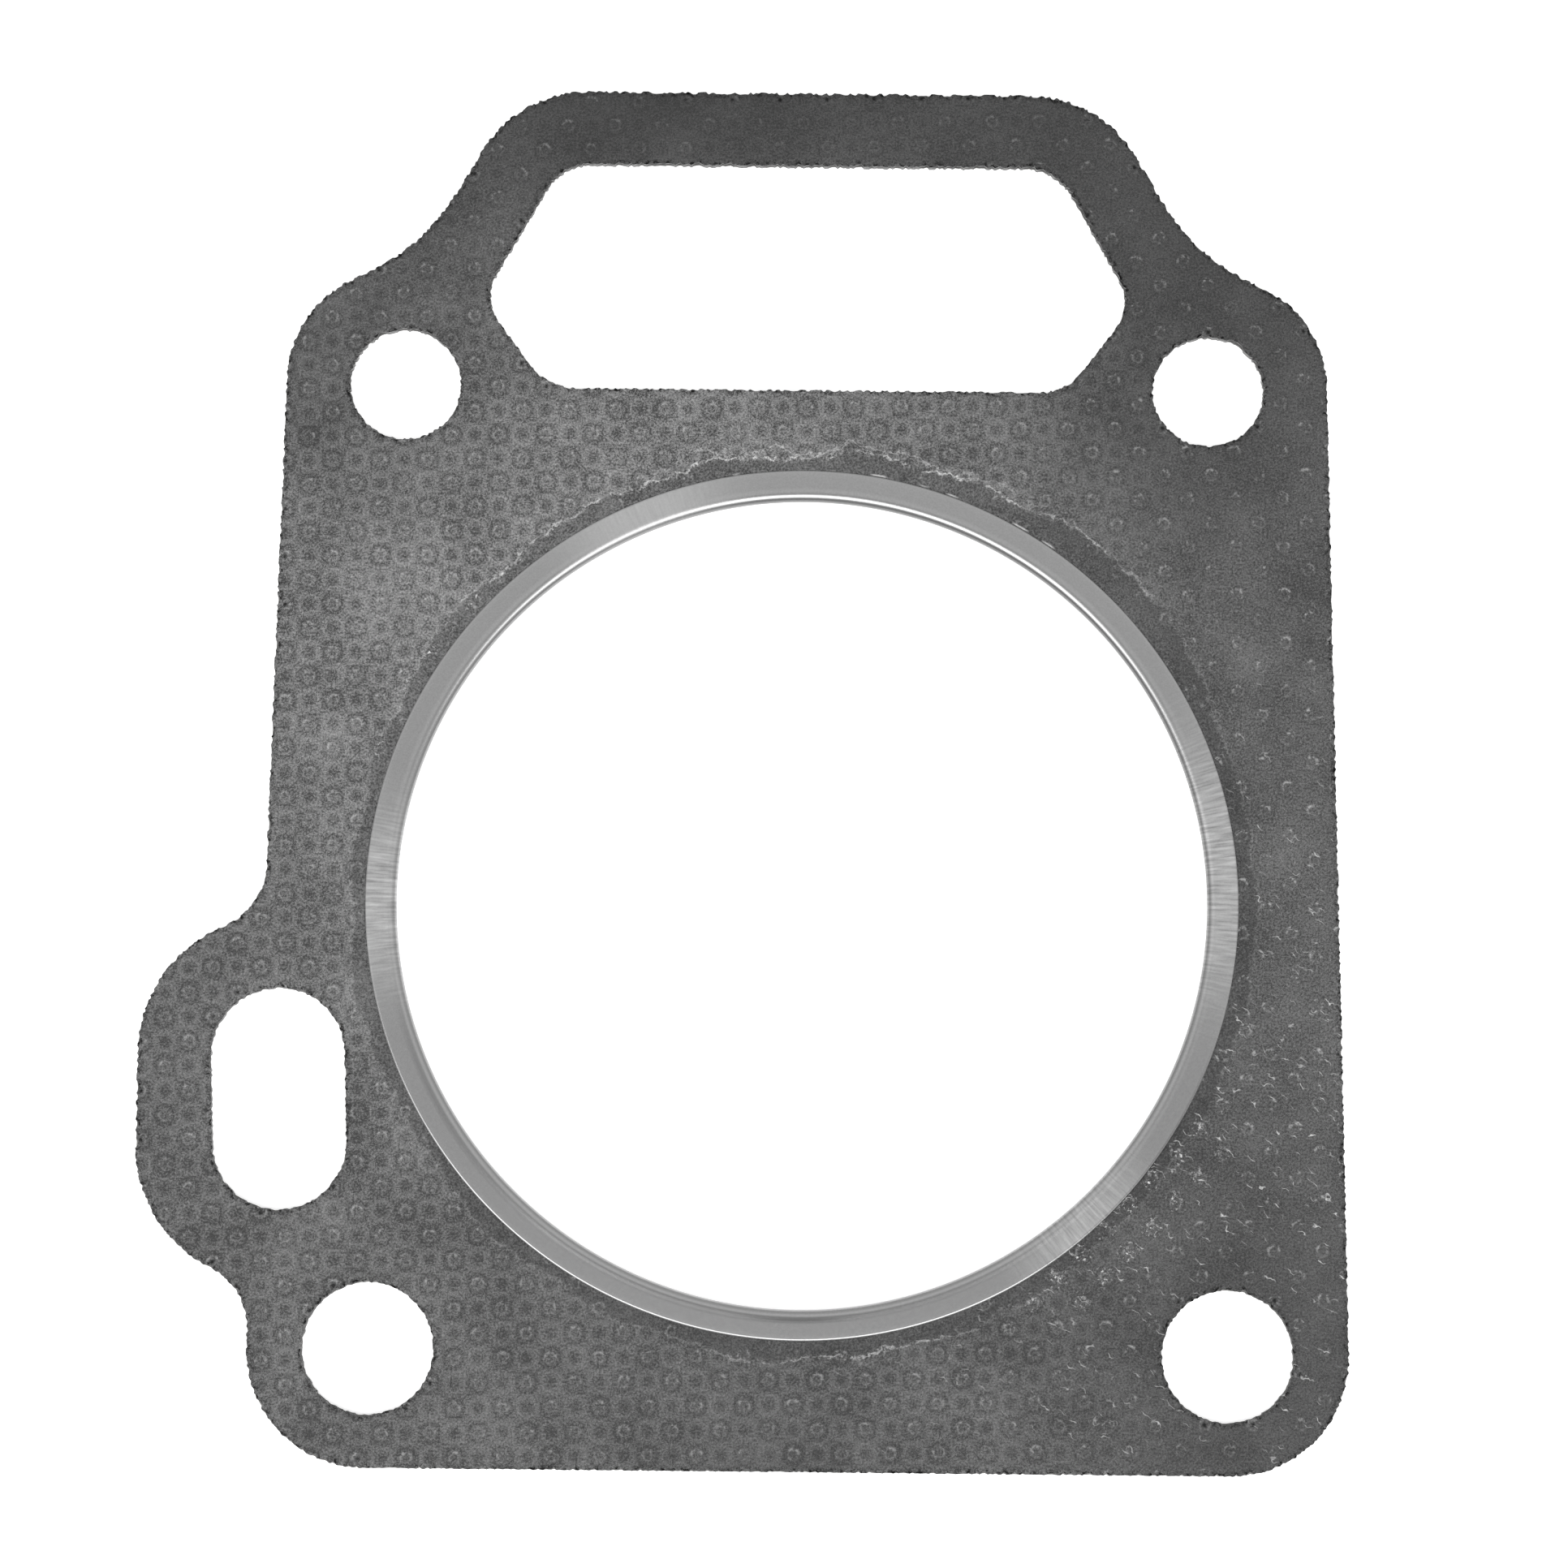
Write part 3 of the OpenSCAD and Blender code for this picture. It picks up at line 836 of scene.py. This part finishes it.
def pale_arcs_and_crumbs(tree, mm, raised, north):
    """Pale broken arcs on the north sides of the raised rings, more so on the right, and crumbs
    of bare fibre next to the fire ring, most at the lower right."""
    ragged = add(tree, "ShaderNodeTexNoise", {
        "Vector": mm, "Scale": 2.1, "Detail": 3.0, "Roughness": 0.7})
    arcs = add(tree, "ShaderNodeMapRange", {"Value": ragged, "From Min": 0.49, "From Max": 0.59})
    # A raised ring's crest is about 0.5 mm from its middle
    crest = ridge(tree, raised, 0.52, 0.22)
    arcs = add(tree, "ShaderNodeMath", {0: arcs, 1: crest}, operation="MULTIPLY")
    side = add(tree, "ShaderNodeMapRange", {
        "Value": north, "From Min": -0.35, "From Max": 0.35, "To Min": 0.3, "To Max": 1.0})
    arcs = add(tree, "ShaderNodeMath", {0: arcs, 1: side}, operation="MULTIPLY")
    # Strongest at the right edge, and faint on the top bar
    for share in (spot(tree, mm, 60, 0, 66, 4.2, 2.4), spot(tree, mm, 0, 92, 55, 0.15, 1.0)):
        arcs = add(tree, "ShaderNodeMath", {0: arcs, 1: share}, operation="MULTIPLY")
    crumbs = add(tree, "ShaderNodeTexNoise", {
        "Vector": mm, "Scale": 2.8, "Detail": 3.0, "Roughness": 0.7})
    crumbs = add(tree, "ShaderNodeMapRange", {"Value": crumbs, "From Min": 0.56, "From Max": 0.63})
    near = add(tree, "ShaderNodeMapRange", {
        "Value": raised, "From Min": 0.5, "From Max": 1.3, "To Min": 12.0, "To Max": 0.0})
    crumbs = add(tree, "ShaderNodeMath", {0: crumbs, 1: near}, operation="MULTIPLY")
    reach = bore_distance(tree, mm)
    right = add(tree, "ShaderNodeMath", {
        0: spot(tree, mm, 32, -31, 22, 1.0, 0.0), 1: ridge(tree, reach, 44.5, 5.0)},
        operation="MULTIPLY")
    left = add(tree, "ShaderNodeMath", {
        0: spot(tree, mm, -36, 24, 28, 0.8, 0.0), 1: ridge(tree, reach, 43.9, 0.9)},
        operation="MULTIPLY")
    where = add(tree, "ShaderNodeMath", {0: right, 1: left}, operation="ADD")
    crumbs = add(tree, "ShaderNodeMath", {0: crumbs, 1: where}, operation="MULTIPLY")
    return add(tree, "ShaderNodeMath", {0: arcs, 1: crumbs}, operation="ADD")


def rim_shade_and_fibre(tree, mm, edge, raised):
    """The factor of painted shade that darkens the cut rim in specks, as in small torn pits, with a
    pit of painted shade where the die went through a perforation just inside it, and how much
    paler the torn fibre of the cut wall is. The edge's distance and the distance of the nearest
    raised mark are in mm."""
    ragged = add(tree, "ShaderNodeTexNoise", {
        "Vector": mm, "Scale": 1.9, "Detail": 3.0, "Roughness": 0.7})
    # Painted shade: dark specks near the rim stand in for the shade in small torn pits
    speck = add(tree, "ShaderNodeMapRange", {"Value": ragged, "From Min": 0.52, "From Max": 0.6,
                                             "To Min": 0.08, "To Max": 0.9})
    near = add(tree, "ShaderNodeMapRange", {"Value": edge, "From Min": 0.12, "From Max": 0.48,
                                            "To Min": 1.0, "To Max": 0.0})
    dark = add(tree, "ShaderNodeMath", {0: speck, 1: near}, operation="MULTIPLY")
    # Painted shade of a pit where a perforation lies just inside the rim
    strip = add(tree, "ShaderNodeMapRange", {"Value": edge, "From Min": 0.6, "From Max": 0.9,
                                             "To Min": 1.0, "To Max": 0.0})
    middle = add(tree, "ShaderNodeMapRange", {"Value": raised, "From Min": 0.1, "From Max": 0.28,
                                              "To Min": 0.75, "To Max": 0.0})
    pit = add(tree, "ShaderNodeMath", {0: strip, 1: middle}, operation="MULTIPLY")
    dark = add(tree, "ShaderNodeMath", {0: dark, 1: pit}, operation="MAXIMUM")
    # The wall lies below 0.5 mm, and above it is the rolled rim, which is still the face
    height = add(tree, "ShaderNodeSeparateXYZ", {0: mm}).outputs["Z"]
    height = add(tree, "ShaderNodeMath", {0: height}, operation="ABSOLUTE")
    wall = add(tree, "ShaderNodeMapRange", {"Value": height, "From Min": 0.5, "From Max": 0.56,
                                            "To Min": 1.0, "To Max": 0.0})
    face = add(tree, "ShaderNodeMath", {0: 1.0, 1: wall}, operation="SUBTRACT")
    dark = add(tree, "ShaderNodeMath", {0: dark, 1: face}, operation="MULTIPLY")
    fibre = add(tree, "ShaderNodeMapRange", {"Value": ragged, "From Min": 0.4, "From Max": 0.6,
                                             "To Min": 0.0, "To Max": 3.0})
    bared = add(tree, "ShaderNodeMath", {0: wall, 1: fibre}, operation="MULTIPLY")
    return add(tree, "ShaderNodeMath", {0: 1.0, 1: dark}, operation="SUBTRACT"), bared


def ring_wrinkle(tree, mm, raised):
    """The crinkled pale line where the sheet was squeezed out round the pressed band, with the
    crumbs along the ring's edge, and the factor for the darker, smoother band itself."""
    reach = bore_distance(tree, mm)
    # The line strays by up to 1.5 mm and is crinkled by up to 1 mm
    stray = add(tree, "ShaderNodeTexNoise", {"Vector": mm, "Scale": 0.13, "Detail": 1.0})
    crinkle = add(tree, "ShaderNodeTexNoise", {
        "Vector": mm, "Scale": 0.8, "Detail": 4.0, "Roughness": 0.7})
    swing = add(tree, "ShaderNodeMath", {0: stray, 1: 3.0, 2: -1.5}, operation="MULTIPLY_ADD")
    swing = add(tree, "ShaderNodeMath", {0: crinkle, 1: 2.0, 2: swing}, operation="MULTIPLY_ADD")
    # It lies furthest out at the upper right
    swing = add(tree, "ShaderNodeMath", {
        0: swing, 1: spot(tree, mm, 33, 33, 22, 1.4, 0.0)}, operation="ADD")
    line = add(tree, "ShaderNodeMath", {0: reach, 1: swing}, operation="SUBTRACT")
    # Distance out of the ring's edge, with the crinkle's own mean of 1 mm taken back
    out = add(tree, "ShaderNodeMath", {0: line, 1: RING_RADIUS / MM - 1.0}, operation="SUBTRACT")
    broken = add(tree, "ShaderNodeTexNoise", {
        "Vector": mm, "Scale": 0.5, "Detail": 4.0, "Roughness": 0.75})
    kept = add(tree, "ShaderNodeMapRange", {
        "Value": broken, "From Min": 0.44, "From Max": 0.54, "To Min": 0.0, "To Max": 8.0})
    # It is whole over the opening and at the bottom, and gone at the lower left
    where = add(tree, "ShaderNodeMath", {
        0: spot(tree, mm, -4, 50, 62, 1.0, 0.1), 1: spot(tree, mm, 5, -46, 22, 0.6, 0.0)},
        operation="MAXIMUM")
    wrinkle = add(tree, "ShaderNodeMath", {
        0: ridge(tree, out, 1.7, 0.15), 1: kept}, operation="MULTIPLY")
    wrinkle = add(tree, "ShaderNodeMath", {0: wrinkle, 1: where}, operation="MULTIPLY")
    # Over the opening a second line crosses it
    fold = add(tree, "ShaderNodeTexNoise", {
        "Vector": mm, "Scale": 0.35, "Detail": 4.0, "Roughness": 0.6})
    fold = add(tree, "ShaderNodeMath", {0: fold, 1: 5.0, 2: out}, operation="MULTIPLY_ADD")
    second = add(tree, "ShaderNodeMath", {
        0: ridge(tree, fold, 4.9, 0.16), 1: spot(tree, mm, 4, 48, 34, 3.4, 0.0)},
        operation="MULTIPLY")
    wrinkle = add(tree, "ShaderNodeMath", {0: wrinkle, 1: second}, operation="ADD")
    # Crumbs lie against the ring where it cuts a mark
    lip = add(tree, "ShaderNodeMapRange", {
        "Value": raised, "From Min": 0.5, "From Max": 1.0, "To Min": 8.0, "To Max": 0.0})
    lip = add(tree, "ShaderNodeMath", {
        0: lip, 1: ridge(tree, reach, RING_RADIUS / MM + 0.2, 0.13)}, operation="MULTIPLY")
    above = spot(tree, mm, 16, 42, 34, 1.0, 0.0)
    lip = add(tree, "ShaderNodeMath", {0: lip, 1: above}, operation="MULTIPLY")
    wrinkle = add(tree, "ShaderNodeMath", {0: wrinkle, 1: lip}, operation="ADD")
    pressed = add(tree, "ShaderNodeMapRange", {
        "Value": out, "From Min": 1.2, "From Max": 1.8, "To Min": 0.6, "To Max": 1.0},
        interpolation_type="SMOOTHSTEP")
    return wrinkle, pressed


# Stretches of the flange that are scuffed: x, y and radius in mm, how pale and how streaked
SCUFFED = ((41, 4, 22, 1.0, 1.0), (-41, 0, 15, 0.9, 0.9), (-16, 38, 14, 1.2, 0.2),
           (28, -31, 12, 0.7, 0.7))


def ring_steel(look):
    """Stainless sheet, pressed flat after folding: satin grey with stretches of fine radial
    scuffs, painted shade on the fold's wall and in the groove on the lower half, and painted
    shade that dims the outer edge's highlight at the lower right."""
    material, tree = new_material("Stainless sheet, satin")
    place = add(tree, "ShaderNodeTexCoord").outputs["Object"]
    mm = add(tree, "ShaderNodeVectorMath", {0: place, "Scale": 1 / MM}, operation="SCALE")
    reach = bore_distance(tree, mm)
    level = add(tree, "ShaderNodeVectorMath", {0: mm, 1: (1.0, 1.0, 0.0)}, operation="MULTIPLY")
    heading = add(tree, "ShaderNodeVectorMath", {0: level}, operation="NORMALIZE")
    # Scuffs run outwards, and lie about 0.3 mm apart round the flange
    flange_middle = 41.0
    scuff_gap = 0.3
    round_ring = add(tree, "ShaderNodeVectorMath", {
        0: heading, "Scale": flange_middle / scuff_gap}, operation="SCALE")
    outwards = add(tree, "ShaderNodeVectorMath", {0: level, "Scale": 0.35}, operation="SCALE")
    scuff_place = add(tree, "ShaderNodeVectorMath", {0: round_ring, 1: outwards}, operation="ADD")
    streaks = add(tree, "ShaderNodeTexNoise", {"Vector": scuff_place, "Scale": 1.0, "Detail": 2.0})
    streaks = add(tree, "ShaderNodeMath", {0: streaks, 1: 0.5}, operation="SUBTRACT")
    scuffed = streaked = 0.0
    for x, y, radius, pale, amount in SCUFFED:
        scuffed = add(tree, "ShaderNodeMath", {
            0: scuffed, 1: spot(tree, mm, x, y, radius, pale, 0.0)}, operation="MAXIMUM")
        streaked = add(tree, "ShaderNodeMath", {
            0: streaked, 1: spot(tree, mm, x, y, radius, amount, 0.0)}, operation="MAXIMUM")
    streaks = add(tree, "ShaderNodeMath", {0: streaks, 1: streaked}, operation="MULTIPLY")
    grain = add(tree, "ShaderNodeTexNoise", {"Vector": mm, "Scale": 7.0, "Detail": 2.0})
    grain = add(tree, "ShaderNodeMath", {0: grain, 1: 0.5}, operation="SUBTRACT")
    # Scuffed steel is paler, and fine grain covers all of it
    tone = add(tree, "ShaderNodeMath", {0: scuffed, 1: 0.17, 2: 0.89}, operation="MULTIPLY_ADD")
    tone = add(tree, "ShaderNodeMath", {0: streaks, 1: 1.6, 2: tone}, operation="MULTIPLY_ADD")
    tone = add(tree, "ShaderNodeMath", {0: grain, 1: 0.25, 2: tone}, operation="MULTIPLY_ADD")

    # Painted shade lies in the groove on the lower half, thickest at the bottom, and painted
    # shade darkens the outer edge at the lower right, to dim its highlight there
    painted_shade = add(tree, "ShaderNodeMath", {
        0: spot(tree, mm, 0, -44, 48, 0.5, 0.0), 1: spot(tree, mm, 0, -41, 8, 0.25, 0.0)},
        operation="ADD")
    painted_shade = add(tree, "ShaderNodeMath", {
        0: painted_shade, 1: spot(tree, mm, -34, -23, 26, 0.4, 0.0)}, operation="MAXIMUM")
    groove = ridge(tree, reach, 40.5, 0.4)
    painted_shade = add(tree, "ShaderNodeMath", {0: painted_shade, 1: groove}, operation="MULTIPLY")
    # Painted shade on the outer edge at the lower right, which dims its highlight
    lip_shade = add(tree, "ShaderNodeMath", {
        0: spot(tree, mm, 32, -26, 22, 0.9, 0.0), 1: ridge(tree, reach, 42.5, 0.3)},
        operation="MULTIPLY")
    painted_shade = add(tree, "ShaderNodeMath", {0: painted_shade, 1: lip_shade}, operation="ADD")
    unshaded = add(tree, "ShaderNodeMath", {0: 1.0, 1: painted_shade}, operation="SUBTRACT")
    tone = add(tree, "ShaderNodeMath", {0: tone, 1: unshaded}, operation="MULTIPLY")
    # Painted shade darkens the fold's wall, which the glowing floor lights from below, most at the
    # upper right
    height = add(tree, "ShaderNodeSeparateXYZ", {0: mm}).outputs["Z"]
    height = add(tree, "ShaderNodeMath", {0: height}, operation="ABSOLUTE")
    wall = add(tree, "ShaderNodeMapRange", {
        "Value": height, "From Min": 0.62, "From Max": 0.74,
        "To Min": spot(tree, mm, 20, 30, 85, 0.58, 0.95), "To Max": 1.0})
    tone = add(tree, "ShaderNodeMath", {0: tone, 1: wall}, operation="MULTIPLY")
    colour = add(tree, "ShaderNodeVectorMath", {
        0: linear(look.colour)[:3], "Scale": tone}, operation="SCALE")

    gloss = add(tree, "ShaderNodeMath", {0: scuffed, 1: 0.1, 2: 0.26}, operation="MULTIPLY_ADD")
    relief = add(tree, "ShaderNodeMath", {0: grain, 1: 0.5, 2: streaks}, operation="MULTIPLY_ADD")
    bump = add(tree, "ShaderNodeBump", {"Height": relief, "Distance": 0.004 * MM})
    steel = add(tree, "ShaderNodeBsdfPrincipled", {
        "Base Color": colour, "Metallic": 1.0, "Roughness": gloss, "Normal": bump})
    add(tree, "ShaderNodeOutputMaterial", {"Surface": steel})
    return material


def light_table(look):
    """White acrylic of a light table: plain, pale and lit a little from below."""
    material, tree = new_material("White acrylic, lit from below")
    sheet = add(tree, "ShaderNodeBsdfPrincipled", {
        "Base Color": linear(look.floor), "Roughness": 0.9, "Specular IOR Level": 0.1,
        "Emission Color": linear(look.floor), "Emission Strength": look.glow})
    add(tree, "ShaderNodeOutputMaterial", {"Surface": sheet})
    return material


class GASKET_PT_panel(bpy.types.Panel):
    """Lists the sizes, the colours and the steps."""

    bl_label = "Head gasket"
    bl_idname = "GASKET_PT_panel"
    bl_space_type = "VIEW_3D"
    bl_region_type = "UI"
    bl_category = "Gasket"

    def draw(self, context):
        groups = (
            (context.scene.gasket_core, (GASKET_OT_core,)),
            (context.scene.gasket_facing, (GASKET_OT_facings,)),
            (context.scene.gasket_ring, (GASKET_OT_fire_ring,)),
            (context.scene.gasket_stage, (GASKET_OT_stage,)),
        )
        for look, steps in groups:
            box = self.layout.box()
            for name in look.bl_rna.properties.keys():
                if name not in ("rna_type", "name"):
                    box.prop(look, name)
            for step in steps:
                box.operator(step.bl_idname)


CLASSES = (CoreLook, FacingLook, RingLook, StageLook, GASKET_OT_core, GASKET_OT_facings,
           GASKET_OT_fire_ring, GASKET_OT_stage, GASKET_PT_panel)


def register():
    for each in CLASSES:
        bpy.utils.register_class(each)
    bpy.types.Scene.gasket_core = bpy.props.PointerProperty(type=CoreLook)
    bpy.types.Scene.gasket_facing = bpy.props.PointerProperty(type=FacingLook)
    bpy.types.Scene.gasket_ring = bpy.props.PointerProperty(type=RingLook)
    bpy.types.Scene.gasket_stage = bpy.props.PointerProperty(type=StageLook)


def unregister():
    del bpy.types.Scene.gasket_stage
    del bpy.types.Scene.gasket_ring
    del bpy.types.Scene.gasket_facing
    del bpy.types.Scene.gasket_core
    for each in reversed(CLASSES):
        bpy.utils.unregister_class(each)


def main():
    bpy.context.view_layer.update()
    register()
    bpy.ops.gasket.core()
    bpy.ops.gasket.facings()
    bpy.ops.gasket.fire_ring()
    bpy.ops.gasket.stage()


if __name__ == "__main__":
    main()
